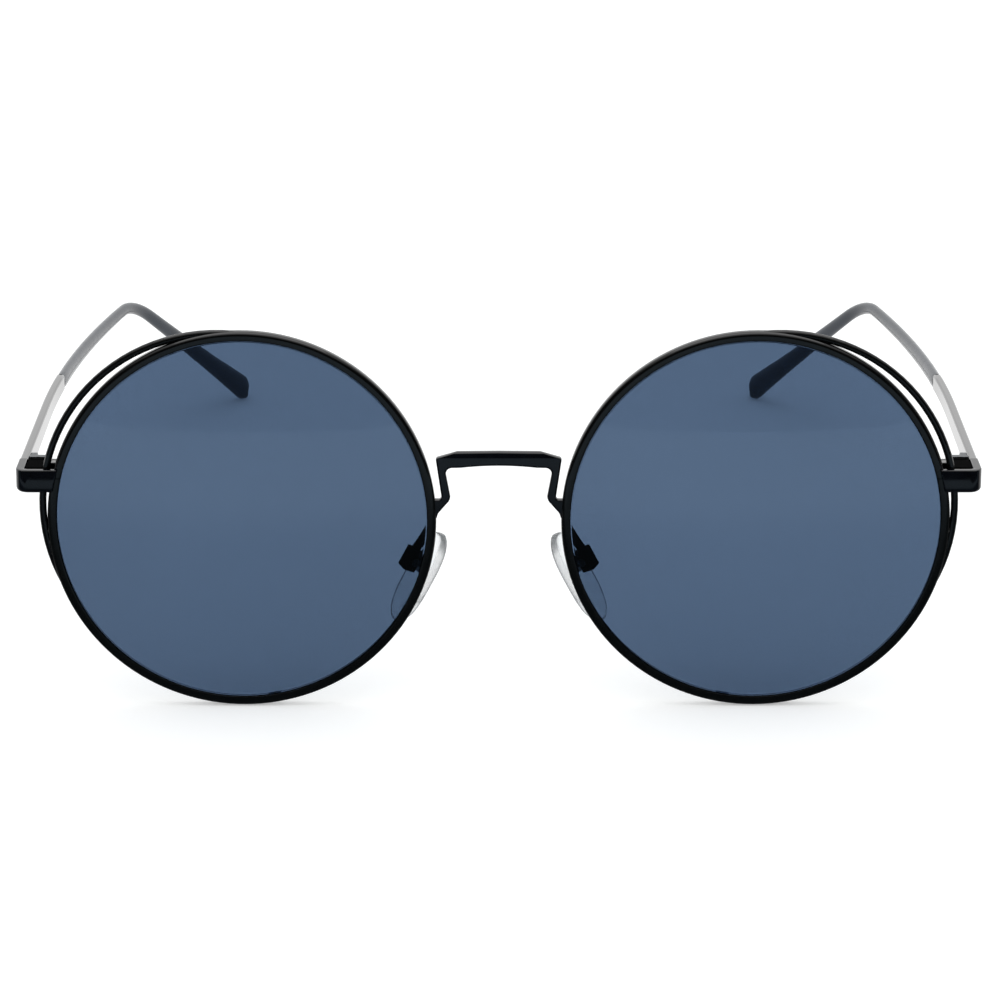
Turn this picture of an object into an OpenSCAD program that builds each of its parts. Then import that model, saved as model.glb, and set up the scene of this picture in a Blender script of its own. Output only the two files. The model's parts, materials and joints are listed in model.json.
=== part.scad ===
// Round metal sunglasses with a second decorative wire round each lens.
// The front is drawn flat: x to the right, y back towards the ears, z up the front,
// and the origin lies midway between the two lens centres. At the end the whole
// frame is leaned until the rims and the temple tips both touch the table.

/* [Lenses] */
// Diameter of each round lens, over its bevel
lens_d = 56; // [52:0.5:60]
// Distance between the two lenses at the nose
lens_gap = 21; // [19:0.5:24]
// Thickness of the lens
lens_t = 1.8; // [1.4:0.1:2.2]
// Radius of the curved front face of the lens
lens_curve_r = 170; // [130:5:400]
// Height of the bevel that sits in the rim
bevel_h = 0.35; // [0.3:0.05:0.6]

/* [Rims] */
// Radial width of the rim wire
rim_w = 1.5; // [1.2:0.05:2]
// Depth of the rim wire, front to back
rim_depth = 2; // [1.8:0.1:2.6]
// Corner radius of the rim wire
rim_corner = 0.4; // [0.2:0.05:0.5]

/* [Outer wires] */
// Diameter of the second, decorative wire
wire_d = 1.1; // [0.8:0.05:1.2]
// Widest clear gap between that wire and the rim
wire_gap = 0.8; // [0.6:0.05:1.2]
// How far the centre of the wire's circle lies from the lens centre
wire_shift = 4; // [3:0.1:4.2]
// Direction of that shift, above the outward horizontal
wire_dir = 34; // [26:1:38]

/* [Bridge] */
// Height of the bridge bar above the lens centres
bridge_rise = 10.6; // [8:0.1:12]
// Height of the bar at its middle
bridge_h = 2.15; // [1.4:0.05:2.4]
// Depth of the bridge, front to back
bridge_t = 1.3; // [1:0.1:1.8]
// Width of the level top of the bar
bridge_top_w = 12.4; // [10:0.2:13.5]
// Width over the two shoulders
bridge_shoulder_w = 18.9; // [18:0.1:19.5]
// Drop from the bar to the shoulders
bridge_drop = 1; // [0.6:0.05:1.6]
// Width of the two bridge legs
bridge_leg_w = 1.35; // [1:0.05:1.6]

/* [Endpieces] */
// How far the endpieces stand out beyond the rims
endpiece_reach = 4.55; // [4.4:0.05:7]
// Height of the endpieces above the lens centres
endpiece_z = 6.3; // [4:0.1:7]
// Height of the endpiece
endpiece_h = 3.5; // [3.3:0.1:4]
// Thickness of the front of the endpiece
endpiece_t = 1.25; // [1:0.05:1.6]
// Radius of its outer corner
endpiece_r = 1.9; // [1.4:0.1:2.4]

/* [Rim closing blocks] */
// Height of each half block
block_h = 1.9; // [1.7:0.1:3]
// Width of the blocks behind the rim
block_w = 1.5; // [1.4:0.05:2]
// Depth of the blocks behind the rim
block_depth = 2.4; // [2.2:0.1:3]
// Diameter of the closing screw
block_screw_d = 0.8; // [0.6:0.05:0.9]

/* [Hinges] */
// Distance of the hinge pin behind the rim centre plane
pivot_y = 5.3; // [5:0.1:7]
// Diameter of the hinge barrel
barrel_d = 2.6; // [2.4:0.1:2.8]
// Height of the hinge
hinge_h = 3.2; // [2.9:0.1:3.3]
// Height of the middle knuckle
knuckle_h = 1.2; // [1:0.1:1.4]
// Diameter of the hinge screw
hinge_screw_d = 1.2; // [1:0.05:1.4]
// Length of the hinge leaf along the temple
leaf_l = 4.4; // [3.5:0.1:7]

/* [Temples] */
// Thickness of the temple strip
arm_t = 1.3; // [1.1:0.05:1.5]
// Height of the temple strip at the hinge
arm_h = 3.2; // [2.8:0.1:3.4]
// Distance behind the front where the temple starts to bow inward
bow_y = 38; // [16:1:45]
// Radius of the inward bow
bow_r = 350; // [300:10:1200]
// Distance behind the front where the plastic tip sleeve starts
sleeve_y = 57; // [45:1:70]
// Distance behind the front where the ear bend starts
bend_y = 105.2; // [95:0.2:115]
// Length of the ear bend along the temple
bend_l = 11; // [10:0.2:18]
// Length of the straight tip behind the bend
tip_l = 33.5; // [26:0.5:38]
// Downward angle of the tip
tip_drop = 35.5; // [32:0.5:42]
// Inward angle of the tip
tip_in = 34.5; // [20:0.5:38]

/* [Tip sleeves] */
// Thickness of the sleeve where it starts
sleeve_t = 1.7; // [1.6:0.05:2.2]
// Height of the sleeve where it starts
sleeve_h = 2.7; // [2.6:0.1:3.4]
// Height of the sleeve at the ear bend, where it is slimmest
neck_h = 2; // [1.9:0.05:2.6]
// Thickness of the sleeve at its end
tip_t = 2.2; // [2:0.1:3]
// Height of the sleeve at its end
tip_h = 4.4; // [4:0.1:6]
// Thickness of the core wire in the sleeve
core_t = 0.8; // [0.6:0.05:0.9]
// Height of the core wire in the sleeve
core_h = 1.1; // [0.9:0.1:1.2]
// Length of solid sleeve beyond the end of the core wire
core_stop = 9; // [7:0.5:14]

/* [Nose pads] */
// Distance of each pad box from the middle of the bridge
pad_x = 13.4; // [12.8:0.1:14]
// Distance of the pad boxes behind the rim centre plane
pad_y = 8; // [7:0.1:10]
// Height of the pad boxes, against the lens centres
pad_z = -8.4; // [-10:0.1:-7.5]
// Length of the pad
pad_l = 15.2; // [12:0.2:16]
// Width of the pad
pad_w = 6.5; // [6:0.25:8]
// Thickness of the pad
pad_t = 2.7; // [2.2:0.1:3.2]
// Slant of the pads, tops towards the middle
pad_slant = 28; // [18:1:30]
// Turn of the pads, faces towards the wearer
pad_splay = 28; // [20:1:35]
// Height of the box pin above the middle of the pad
pad_hang = 2.5; // [0:0.25:3]
// Diameter of the pad arm wire
pad_arm_d = 1.3; // [1:0.05:1.4]

/* [Hidden] */

// Clearances, and two lengths for cuts that pass right through and for bodies that join
solder_gap = 0.02;
fit_gap = 0.05;
pin_gap = 0.03;
rim_split = 0.1;
beyond = 1;
weld = 0.1;

// Lens and rim
lens_x = (lens_d + lens_gap) / 2;
rim_ri = lens_d / 2 - bevel_h;
rim_ro = rim_ri + rim_w;
groove_play = 0.15;
groove_half = bevel_h + groove_play;
lens_blank = lens_t * 3;
lens_edge_r = rim_ri - fit_gap;
lens_inner_r = lens_curve_r - lens_t;
lens_sphere_y = sqrt(pow(lens_curve_r - lens_t / 2, 2) - pow(lens_edge_r, 2));

// Outer wire: its outer edge stands furthest from the rim along wire_dir
wire_r = rim_ro + wire_gap + wire_d / 2 - wire_shift;
wire_half_angle = 84;

// Endpiece
out_x = lens_x + rim_ro + endpiece_reach;
in_x = out_x - arm_t;
endpiece_back = -(wire_d / 2 + fit_gap);
endpiece_front = endpiece_back - endpiece_t;
endpiece_edge = 0.35;
endpiece_corner = 0.6;
endpiece_inner_r = 0.6;

// Closing blocks
split_rise = 0.3;
split_z = endpiece_z + split_rise;
block_inset = 0.1;
block_x1 = lens_x + rim_ro - block_inset;
block_y = rim_depth / 2 + solder_gap;
block_screw_x = block_x1 - block_w / 2;
block_screw_y = block_y + block_depth / 2;
block_screw_lift = 0.2;
block_head_d = 1.1;
block_head_h = 0.4;

// Hinge
barrel_r = barrel_d / 2;
pivot_x = in_x - fit_gap - barrel_r;
barrel_gap = 0.12;
hinge_side_gap = 0.2;
hinge_x0 = block_x1 + hinge_side_gap;
hinge_wire_gap = 0.125;
hinge_y0 = wire_d / 2 + hinge_wire_gap;
hinge_x1 = in_x - solder_gap;
hinge_back_y = pivot_y - barrel_r - barrel_gap;
leaf_y = pivot_y + barrel_r + barrel_gap;
leaf_block_l = 1.2;
leaf_t = 0.9;
leaf_inset = 0.3;
leaf_h = hinge_h - 2 * leaf_inset;
knuckle_root = 0.5;
knuckle_side = 0.4;
hinge_head_d = 1.9;
hinge_head_h = 0.4;
slot_w = 0.3;
slot_depth = 0.15;

// Temple path
arm_x = out_x - arm_t / 2;
arm_corner = 0.35;
butt_gap = 0.06;
bow_x = arm_x - bow_r;
sleeve_a = asin((sleeve_y - bow_y) / bow_r);
bend_a = asin((bend_y - bow_y) / bow_r);
seam_a = 0.01;

// Sleeve and core sweeps
ring_n = 14;
bow_steps = 7;
tail_steps = 22;
tail_bent_steps = 6;
tail_l = bend_l + tip_l;
tail_step = tail_l / tail_steps;
tip_round_share = 0.55;
tip_round = tip_h * tip_round_share;
tip_flat_share = 0.06;
tip_side_share = 0.35;
tip_sag_share = 0.22;
tip_sag = tip_h * tip_sag_share;
tip_swell_power = 2.2;
core_gap = 0.06;
ring_power = 0.8;

// Pad parts, in the pad's own frame
box_x = 2.2;
box_y = 2.4;
box_z = 3.3;
box_corner = 0.4;
pocket_y = 1.2;
pocket_z = 2.4;
pocket_back = 0.65;
pin_x = -0.2;
pin_d = 0.8;
pin_head_d = 1.3;
pin_head_h = 0.25;
tab_t = pocket_y - 2 * fit_gap;
tab_r = 0.7;
pad_back_x = -2;
plate_t = 0.5;
plate_y = 2.8;
plate_z = 3.2;
pad_arm_z = -1.9;
pad_arm_share = 0.55;
pad_arm_r = rim_ri + rim_w * pad_arm_share;
pad_arm_steps = 14;
pad_arm_sides = 12;
pad_arm_lead = [0, 4.6, 0];
pad_arm_entry = 2.6;
pad_arm_side = 0.2;
pad_rings = 14;
pad_sides = 16;
pad_sole_share = 0.35;
pad_edge_share = 0.02;
pad_round_power = 3.2;
pad_taper_share = 0.7;

cut_depth = 2 * pivot_y;

fine_sides = 96;
small_sides = 32;
ball_sides = 180;
bow_sides = 720;

// Sweep tools

function path_sum(v, i) = i < 0 ? [0, 0, 0] : v[i] + path_sum(v, i - 1);

// A frame on the temple is [point, inward angle, downward angle]
function along(a, b) = [-sin(a) * cos(b), cos(a) * cos(b), -sin(b)];
function across(a) = [cos(a), sin(a), 0];
function upward(a, b) = [-sin(a) * sin(b), cos(a) * sin(b), cos(b)];

function bow_frame(a) = [[bow_x + bow_r * cos(a), bow_y + bow_r * sin(a), endpiece_z], a, 0];
function bend_share(s) = min(1, s / bend_l);
function tail_in(s) = bend_a + (tip_in - bend_a) * bend_share(s);
function tail_down(s) = tip_drop * bend_share(s);

bend_start = bow_frame(bend_a)[0];
tail_moves = [
    for (i = [0:tail_steps - 1])
        let (s = (i + 0.5) * tail_step)
        tail_step * along(tail_in(s), tail_down(s))
];
tail_frames = [
    for (i = [1:tail_steps])
        [bend_start + path_sum(tail_moves, i - 1), tail_in(i * tail_step), tail_down(i * tail_step)]
];
bow_frames = [for (i = [0:bow_steps]) bow_frame(sleeve_a + (bend_a - sleeve_a) * i / bow_steps)];
temple_frames = concat(bow_frames, tail_frames);
bow_l = bow_r * (bend_a - sleeve_a) * PI / 180;
temple_l = bow_l + tail_l;
function frame_s(i) = i <= bow_steps ? bow_l * i / bow_steps : bow_l + (i - bow_steps) * tail_step;

function soft_pow(v) = sign(v) * pow(abs(v), ring_power);
function ring(f, t, h, drop = 0) = [
    for (j = [0:ring_n - 1])
        let (a = 360 * (j + 0.5) / ring_n)
        f[0] + across(f[1]) * t / 2 * soft_pow(cos(a))
             + upward(f[1], f[2]) * (h / 2 * soft_pow(sin(a)) - drop)
];

// Rounded end of the sleeve: 1 along the sleeve, falling to near 0 at its end
function end_share(s) =
    let (u = max(0, s - (temple_l - tip_round)) / tip_round)
    sqrt(max(tip_flat_share, 1 - u * u));
function neck_share(s) = min(1, s / bow_l);
function swell_share(s) = pow(max(0, s - bow_l) / tail_l, tip_swell_power);
function sleeve_ring(i) =
    let (s = frame_s(i), k = end_share(s), m = swell_share(s))
    ring(
        temple_frames[i],
        (sleeve_t + (tip_t - sleeve_t) * m) * (tip_side_share + (1 - tip_side_share) * k),
        (sleeve_h + (neck_h - sleeve_h) * neck_share(s) + (tip_h - neck_h) * m) * k,
        tip_sag * (1 - k)
    );

last_frame = len(temple_frames) - 1;
core_last = max([for (i = [0:last_frame]) if (frame_s(i) < temple_l - core_stop) i]);
sleeve_rings = [for (i = [0:last_frame]) sleeve_ring(i)];
bore_rings = [for (i = [0:core_last]) ring(temple_frames[i], core_t + 2 * core_gap, core_h + 2 * core_gap)];
core_rings = [for (i = [0:core_last - 1]) ring(temple_frames[i], core_t, core_h)];

function flat(rings) = [for (r = rings) each r];
function tube_faces(count, n, base = 0) = [
    for (i = [0:count - 2], j = [0:n - 1])
        let (a = base + i * n + j, b = base + i * n + (j + 1) % n)
        each [[a, b, b + n], [a, b + n, a + n]]
];
function flip(faces) = [for (f = faces) [f[2], f[1], f[0]]];
function fan(base, n) = [for (j = [1:n - 2]) [base, base + j, base + j + 1]];

// Solid sweep through rings
module sweep(rings) {
    n = len(rings[0]);
    count = len(rings);
    polyhedron(
        points = flat(rings),
        faces = concat(tube_faces(count, n), flip(fan(0, n)), fan((count - 1) * n, n))
    );
}

// Sweep with a blind bore that opens at its first ring
module hollow_sweep(outer, inner) {
    n = len(outer[0]);
    no = len(outer);
    ni = len(inner);
    base = no * n;
    mouth = [
        for (j = [0:n - 1])
            let (k = (j + 1) % n)
            each [[j, base + j, base + k], [j, base + k, k]]
    ];
    polyhedron(
        points = concat(flat(outer), flat(inner)),
        faces = concat(
            tube_faces(no, n),
            fan((no - 1) * n, n),
            flip(tube_faces(ni, n, base)),
            flip(fan(base + (ni - 1) * n, n)),
            mouth
        )
    );
}

// Resting lean: the tip is lowered until its first point meets the table

rim_hy = rim_depth / 2 - rim_corner;
rim_hz = rim_ro - rim_corner;
function touch_lean(p) =
    let (a = p.z + rim_hz, b = rim_hy - p.y)
    atan2(b, a) + acos(-rim_corner / norm([a, b]));
tip_points = flat([for (i = [bow_steps + tail_bent_steps:last_frame]) sleeve_rings[i]]);
lean = min([for (p = tip_points) touch_lean(p)]);
rest_z = rim_hz * cos(lean) + rim_hy * sin(lean) + rim_corner;
front_y = min(
    lens_sphere_y * cos(lean) - lens_curve_r,
    -rim_hy * cos(lean) - rim_hz * sin(lean) - rim_corner
);
back_y = max([for (p = tip_points) p.y * cos(lean) + p.z * sin(lean)]);

module rest() {
    translate([0, -(front_y + back_y) / 2, rest_z]) rotate([-lean, 0, 0]) children();
}

// The right side is drawn, and the left is its mirror image
module side(s) {
    if (s > 0) rest() children();
    else rest() mirror([1, 0, 0]) children();
}

// Turns a shape drawn about z so that its axis runs front to back at the lens centre
module about_lens() {
    translate([lens_x, 0, 0]) rotate([90, 0, 0]) children();
}

module rim_cut() {
    about_lens() cylinder(r = rim_ro + solder_gap, h = cut_depth, center = true, $fn = fine_sides);
}

module rounded(w, h, r) {
    square([w - 2 * r, h], center = true);
    square([w, h - 2 * r], center = true);
    for (i = [-1, 1], j = [-1, 1])
        translate([i * (w / 2 - r), j * (h / 2 - r)]) circle(r = r, $fn = small_sides);
}

module box(x0, x1, y0, y1, z0, z1) {
    translate([x0, y0, z0]) cube([x1 - x0, y1 - y0, z1 - z0]);
}

// Rim: a wire with a groove for the lens, open at the closing blocks
module rim(s) {
    color("#141312") side(s) difference() {
        about_lens() rotate_extrude($fn = fine_sides) difference() {
            translate([(rim_ri + rim_ro) / 2, 0]) rounded(rim_w, rim_depth, rim_corner);
            polygon([
                [rim_ri - beyond, -groove_half - beyond],
                [lens_d / 2 + fit_gap, 0],
                [rim_ri - beyond, groove_half + beyond]
            ]);
        }
        box(lens_x, out_x, -rim_depth, rim_depth, split_z - rim_split / 2, split_z + rim_split / 2);
    }
}

// Lens: a curved shell cut round, with a bevelled edge
module lens(s) {
    color("#3d4d63", 0.85) side(s) intersection() {
        translate([lens_x, lens_sphere_y, 0]) difference() {
            sphere(r = lens_curve_r, $fn = ball_sides);
            sphere(r = lens_inner_r, $fn = ball_sides);
        }
        about_lens() rotate_extrude($fn = fine_sides) polygon([
            [0, -lens_blank],
            [0, lens_blank],
            [lens_edge_r, lens_blank],
            [lens_edge_r, bevel_h],
            [lens_d / 2, 0],
            [lens_edge_r, -bevel_h],
            [lens_edge_r, -lens_blank]
        ]);
    }
}

// Outer wire: part of a smaller circle whose ends die away on the rim
module outer_wire(s) {
    color("#141312") side(s) difference() {
        translate([lens_x + wire_shift * cos(wire_dir), 0, wire_shift * sin(wire_dir)])
            rotate([90, 0, 0])
            rotate([0, 0, wire_dir - wire_half_angle])
            rotate_extrude(angle = 2 * wire_half_angle, $fn = fine_sides)
            translate([wire_r, 0]) circle(d = wire_d, $fn = small_sides);
        rim_cut();
    }
}

function arc(c, r, a0, a1, n) = [
    for (i = [0:n]) c + r * [cos(a0 + (a1 - a0) * i / n), sin(a0 + (a1 - a0) * i / n)]
];

// Half outline of the bridge: bar, sloping shoulder, leg and turn into the rim
shoulder_x = bridge_shoulder_w / 2;
shoulder_z = bridge_rise - bridge_drop;
bar_bow = 0.05;
turn_z = 3.2;
leg_slope = 0.85;
turn_x = shoulder_x - bridge_leg_w - leg_slope;
turn_r = 1.5;
turn_inner_r = 0.4;
knee_r = 0.9;
knee_in = 0.2;
knee_drop = 0.35;
heel_z = -0.1;
heel_rise = 0.3;
heel_r = 1.5;
heel_a = 50;
turn_a = 230;
under_r = 50;
under_a = 83.5;
rim_near_x = lens_x - rim_ro;
bar_end_z = bridge_rise - bridge_h - knee_drop;
knee_x = shoulder_x - bridge_leg_w - knee_in;
half_bridge = concat(
    [[0, bridge_rise], [bridge_top_w / 2, bridge_rise - bar_bow], [shoulder_x, shoulder_z]],
    [[turn_x + bridge_leg_w, turn_z + turn_inner_r + weld]],
    arc([turn_x + bridge_leg_w + turn_inner_r, turn_z + turn_inner_r], turn_inner_r, 180, 270, 4),
    [[rim_near_x + beyond, turn_z], [rim_near_x + beyond, heel_z], [rim_near_x - solder_gap, heel_z]],
    arc([rim_near_x - heel_r - weld, heel_rise], heel_r, 0, heel_a, 4),
    arc([turn_x + turn_r, turn_z + turn_inner_r + weld], turn_r, turn_a, 180, 5),
    arc([knee_x - knee_r, bar_end_z - knee_r], knee_r, 0, 90, 6),
    arc([0, bridge_rise - bridge_h - under_r], under_r, under_a, 90, 5)
);

module half_bridge_plate() {
    difference() {
        rotate([90, 0, 0]) linear_extrude(bridge_t, center = true) polygon(half_bridge);
        rim_cut();
    }
}

module bridge() {
    color("#1d1e1f") rest() {
        half_bridge_plate();
        mirror([1, 0, 0]) half_bridge_plate();
    }
}

// Endpiece: a flat bar that meets the rim, turns a rounded corner and runs back to the temple
module endpiece_plan() {
    x0 = lens_x + rim_ri;
    difference() {
        union() {
            translate([x0, endpiece_front]) square([out_x - endpiece_r - x0, pivot_y - endpiece_front]);
            translate([x0, endpiece_front + endpiece_r])
                square([out_x - x0, pivot_y - endpiece_front - endpiece_r]);
            translate([out_x - endpiece_r, endpiece_front + endpiece_r])
                circle(r = endpiece_r, $fn = fine_sides);
        }
        translate([x0 - beyond, endpiece_back])
            square([in_x - endpiece_inner_r - x0 + beyond, pivot_y - endpiece_back + beyond]);
        translate([x0 - beyond, endpiece_back + endpiece_inner_r])
            square([in_x - x0 + beyond, pivot_y - endpiece_back + beyond]);
        translate([in_x - endpiece_inner_r, endpiece_back + endpiece_inner_r])
            circle(r = endpiece_inner_r, $fn = small_sides);
    }
}

module endpiece(s) {
    color("#16181a") side(s) difference() {
        intersection() {
            translate([0, 0, endpiece_z - endpiece_h / 2]) linear_extrude(endpiece_h) endpiece_plan();
            translate([0, pivot_y + beyond, endpiece_z]) rotate([90, 0, 0])
                linear_extrude(pivot_y - endpiece_front + 2 * beyond)
                translate([out_x - cut_depth, 0]) rounded(2 * cut_depth, endpiece_h, endpiece_corner);
            translate([lens_x, endpiece_front + cut_depth, endpiece_z]) rotate([90, 0, 90])
                linear_extrude(out_x - lens_x + beyond) rounded(2 * cut_depth, endpiece_h, endpiece_edge);
        }
        rim_cut();
    }
}

// Closing blocks: two halves behind the open rim, drawn together by one screw
module block(z0, z1) {
    difference() {
        box(block_x1 - block_w, block_x1, block_y, block_y + block_depth, z0, z1);
        translate([block_screw_x, block_screw_y, z0 - beyond])
            cylinder(d = block_screw_d + 2 * solder_gap, h = z1 - z0 + 2 * beyond, $fn = small_sides);
    }
}

module upper_block(s) {
    color("#141312") side(s) difference() {
        block(split_z + rim_split / 2, split_z + block_h);
        translate([block_screw_x, block_screw_y, split_z + block_h - block_head_h])
            cylinder(d = block_head_d + 2 * fit_gap, h = beyond, $fn = small_sides);
    }
}

module lower_block(s) {
    color("#141312") side(s) block(split_z - block_h, split_z - rim_split / 2);
}

module slotted_screw(d, l, head_d, head_h) {
    difference() {
        union() {
            cylinder(d = d, h = l, $fn = small_sides);
            translate([0, 0, l - head_h]) cylinder(d = head_d, h = head_h, $fn = small_sides);
        }
        translate([-head_d, -slot_w / 2, l - slot_depth]) cube([2 * head_d, slot_w, beyond]);
    }
}

module block_screw(s) {
    color("#8a8a88") side(s)
        translate([block_screw_x, block_screw_y, split_z - block_h + block_screw_lift])
        slotted_screw(
            block_screw_d, 2 * block_h - block_screw_lift - fit_gap, block_head_d, block_head_h - fit_gap
        );
}

// Hinge: two outer knuckles on the front and one middle knuckle on the temple
module hinge_space() {
    translate([pivot_x, pivot_y, endpiece_z]) children();
}

module front_hinge(s) {
    z0 = endpiece_z - hinge_h / 2;
    z1 = endpiece_z + hinge_h / 2;
    gap_h = knuckle_h + 2 * fit_gap;
    color("#121211") side(s) difference() {
        union() {
            box(hinge_x0, hinge_x1, hinge_y0, hinge_back_y, z0, z1);
            box(pivot_x - barrel_r, in_x - weld, hinge_back_y - knuckle_root, pivot_y, z0, z1);
            translate([pivot_x, pivot_y, z0]) cylinder(r = barrel_r, h = hinge_h, $fn = fine_sides);
        }
        box(
            hinge_x0 - beyond, in_x + beyond, hinge_back_y, pivot_y + barrel_r + beyond,
            endpiece_z - gap_h / 2, endpiece_z + gap_h / 2
        );
        translate([pivot_x, pivot_y, z0 - beyond])
            cylinder(d = hinge_screw_d + 2 * solder_gap, h = hinge_h + 2 * beyond, $fn = small_sides);
        translate([pivot_x, pivot_y, z1 - hinge_head_h])
            cylinder(d = hinge_head_d + 2 * fit_gap, h = beyond, $fn = small_sides);
    }
}

module temple_hinge(s) {
    tall = hinge_h - 2 * fit_gap;
    color("#6f7478") side(s) difference() {
        union() {
            hinge_space() cylinder(r = barrel_r, h = knuckle_h, center = true, $fn = fine_sides);
            box(
                pivot_x - barrel_r + knuckle_side, in_x - weld, pivot_y, leaf_y + weld,
                endpiece_z - knuckle_h / 2, endpiece_z + knuckle_h / 2
            );
            box(
                pivot_x - barrel_r, hinge_x1, leaf_y, leaf_y + leaf_block_l,
                endpiece_z - tall / 2, endpiece_z + tall / 2
            );
            box(
                hinge_x1 - leaf_t, hinge_x1, leaf_y, leaf_y + leaf_l - leaf_h / 2,
                endpiece_z - leaf_h / 2, endpiece_z + leaf_h / 2
            );
            translate([hinge_x1 - leaf_t, leaf_y + leaf_l - leaf_h / 2, endpiece_z])
                rotate([0, 90, 0]) cylinder(d = leaf_h, h = leaf_t, $fn = small_sides);
        }
        hinge_space() cylinder(
            d = hinge_screw_d + 2 * pin_gap, h = hinge_h + beyond, center = true, $fn = small_sides
        );
    }
}

module hinge_screw(s) {
    color("#8a8a88") side(s)
        translate([pivot_x, pivot_y, endpiece_z - hinge_h / 2])
        slotted_screw(hinge_screw_d, hinge_h - fit_gap, hinge_head_d, hinge_head_h - 2 * fit_gap);
}

// Temple: a flat strip, straight at the hinge, then bowed inward, and tapered in height
function strip_h(y) = arm_h + (neck_h - arm_h) * (y - pivot_y) / (bend_y - pivot_y);

module temple(s) {
    y0 = pivot_y + butt_gap;
    taper_y0 = y0 - beyond;
    taper_y1 = sleeve_y + beyond;
    color("#1b1b1b") side(s) intersection() {
        union() {
            translate([arm_x, y0, endpiece_z]) rotate([-90, 0, 0])
                linear_extrude(bow_y - y0) rounded(arm_t, arm_h, arm_corner);
            translate([bow_x, bow_y, endpiece_z])
                rotate_extrude(angle = sleeve_a - seam_a, $fn = bow_sides)
                translate([bow_r, 0]) rounded(arm_t, arm_h, arm_corner);
        }
        translate([0, 0, endpiece_z]) rotate([90, 0, 90]) linear_extrude(out_x + beyond) polygon([
            [taper_y0, -strip_h(taper_y0) / 2],
            [taper_y1, -strip_h(taper_y1) / 2],
            [taper_y1, strip_h(taper_y1) / 2],
            [taper_y0, strip_h(taper_y0) / 2]
        ]);
    }
}

module core_wire(s) {
    color("#8a8a88") side(s) sweep(core_rings);
}

module tip_sleeve(s) {
    color("#232a36") side(s) hollow_sweep(sleeve_rings, bore_rings);
}

// Nose pads, drawn in a frame that stands in the pad box
module pad_space() {
    translate([pad_x, pad_y, pad_z]) rotate([0, -pad_slant, 0]) rotate([0, 0, -pad_splay]) children();
}

function pad_turn(v) =
    let (
        x = v.x * cos(pad_splay) + v.y * sin(pad_splay),
        y = -v.x * sin(pad_splay) + v.y * cos(pad_splay)
    )
    [x * cos(pad_slant) - v.z * sin(pad_slant), y, x * sin(pad_slant) + v.z * cos(pad_slant)];

// Pad arm: from the back of the rim, back and down into the top of the pad box
pad_arm_a = asin(pad_arm_z / pad_arm_r);
arm_from = [lens_x - pad_arm_r * cos(pad_arm_a), rim_depth / 2 + solder_gap, pad_arm_z];
arm_to = [pad_x, pad_y, pad_z] + pad_turn([pad_arm_side, 0, box_z / 2 + solder_gap]);
arm_ctrl = [
    arm_from,
    arm_from + pad_arm_lead,
    arm_to + pad_turn([0, 0, pad_arm_entry]),
    arm_to
];
function bezier(c, t) =
    pow(1 - t, 3) * c[0] + 3 * t * pow(1 - t, 2) * c[1] + 3 * t * t * (1 - t) * c[2] + pow(t, 3) * c[3];
function bezier_dir(c, t) =
    let (d = pow(1 - t, 2) * (c[1] - c[0]) + 2 * t * (1 - t) * (c[2] - c[1]) + t * t * (c[3] - c[2]))
    d / norm(d);
function wire_ring(p, d, r, n) =
    let (u = cross(d, [1, 0, 0]), l = u / norm(u), w = cross(l, d))
    [for (j = [0:n - 1]) p + r * (l * cos(360 * j / n) - w * sin(360 * j / n))];

module pad_arm(s) {
    rings = [
        for (i = [0:pad_arm_steps])
            let (t = i / pad_arm_steps)
            wire_ring(bezier(arm_ctrl, t), bezier_dir(arm_ctrl, t), pad_arm_d / 2, pad_arm_sides)
    ];
    color("#141312") side(s) sweep(rings);
}

module pad_box(s) {
    color("#0f0f10") side(s) pad_space() difference() {
        translate([0, 0, -box_z / 2]) linear_extrude(box_z) rounded(box_x, box_y, box_corner);
        box(-box_x, pocket_back, -pocket_y / 2, pocket_y / 2, -pocket_z / 2, pocket_z / 2);
        translate([pin_x, 0, 0]) rotate([90, 0, 0])
            cylinder(d = pin_d + 2 * solder_gap, h = box_y + beyond, center = true, $fn = small_sides);
    }
}

module pad_pin(s) {
    color("#8a8a88") side(s) pad_space() translate([pin_x, 0, 0]) rotate([90, 0, 0]) {
        translate([0, 0, -box_y / 2]) cylinder(d = pin_d, h = box_y + solder_gap, $fn = small_sides);
        translate([0, 0, box_y / 2 + solder_gap])
            cylinder(d = pin_head_d, h = pin_head_h, $fn = small_sides);
    }
}

// Metal mount of the pad: an eye on the pin and a plate in the back of the pad
module pad_mount(s) {
    color("#b8bcc0") side(s) pad_space() difference() {
        union() {
            translate([pin_x, 0, 0]) rotate([90, 0, 0])
                cylinder(r = tab_r, h = tab_t, center = true, $fn = small_sides);
            box(pad_back_x - weld, pin_x, -tab_t / 2, tab_t / 2, -tab_r, tab_r);
            box(
                pad_back_x - plate_t, pad_back_x, -plate_y / 2, plate_y / 2,
                -plate_z / 2, plate_z / 2
            );
        }
        translate([pin_x, 0, 0]) rotate([90, 0, 0])
            cylinder(d = pin_d + 2 * pin_gap, h = box_y, center = true, $fn = small_sides);
    }
}

// Clear pad: flat at the back, crowned towards the nose and rounded at both ends
function pad_ring(i) =
    let (
        v = -1 + 2 * i / pad_rings,
        k = sqrt(max(pad_edge_share, 1 - pow(abs(v), pad_round_power))),
        z = v * pad_l / 2 - pad_hang
    )
    [
        for (j = [0:pad_sides - 1])
            let (
                a = 360 * (j + 0.5) / pad_sides,
                c = cos(a),
                depth = pad_t * (c > 0 ? pad_sole_share : 1 - pad_sole_share)
            )
            [
                pad_back_x - pad_t * pad_sole_share + depth * c * (1 - pad_taper_share * (1 - k)),
                pad_w / 2 * soft_pow(sin(a)) * k,
                z
            ]
    ];

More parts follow.
